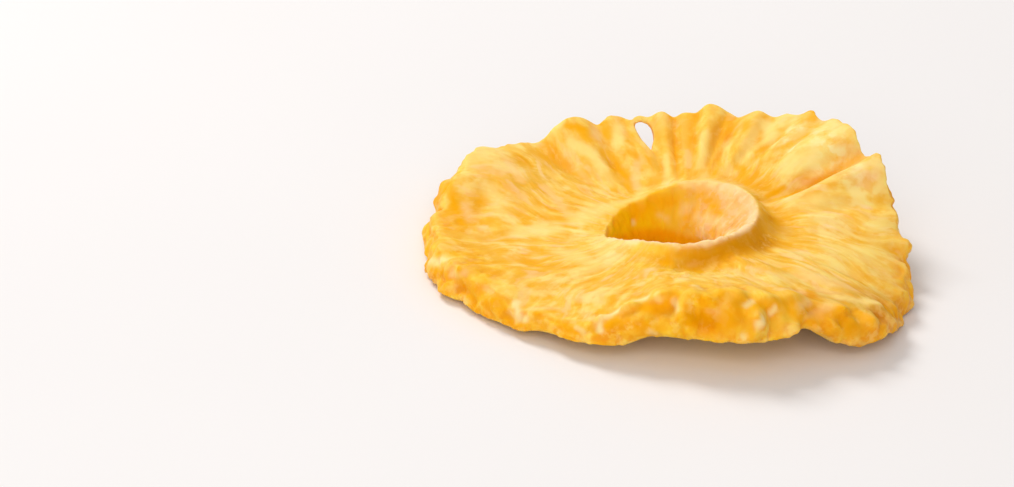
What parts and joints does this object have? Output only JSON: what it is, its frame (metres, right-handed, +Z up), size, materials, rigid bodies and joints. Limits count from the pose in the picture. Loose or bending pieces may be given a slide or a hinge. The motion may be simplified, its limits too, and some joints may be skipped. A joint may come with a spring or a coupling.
{
  "type": "dried pineapple ring",
  "caption": "Dried pineapple ring: a wavy amber slice with a raised collar round its cored hole, pleated along the lifted back edge and thick and craggy along the front.",
  "frame": {"origin": "the middle of the ring's bounding box, on the floor it rests on", "axes": "+Z is up, out of the ring's shown face; +Y points to its raised, pleated back edge, and +X to its right as the thick front edge is faced"},
  "size_m": [0.0804, 0.0792, 0.0171],
  "materials": {
    "dried_flesh": null
  },
  "bodies": {
    "root": {"pineapple_ring": "dried_flesh"}
  },
  "joints": []
}
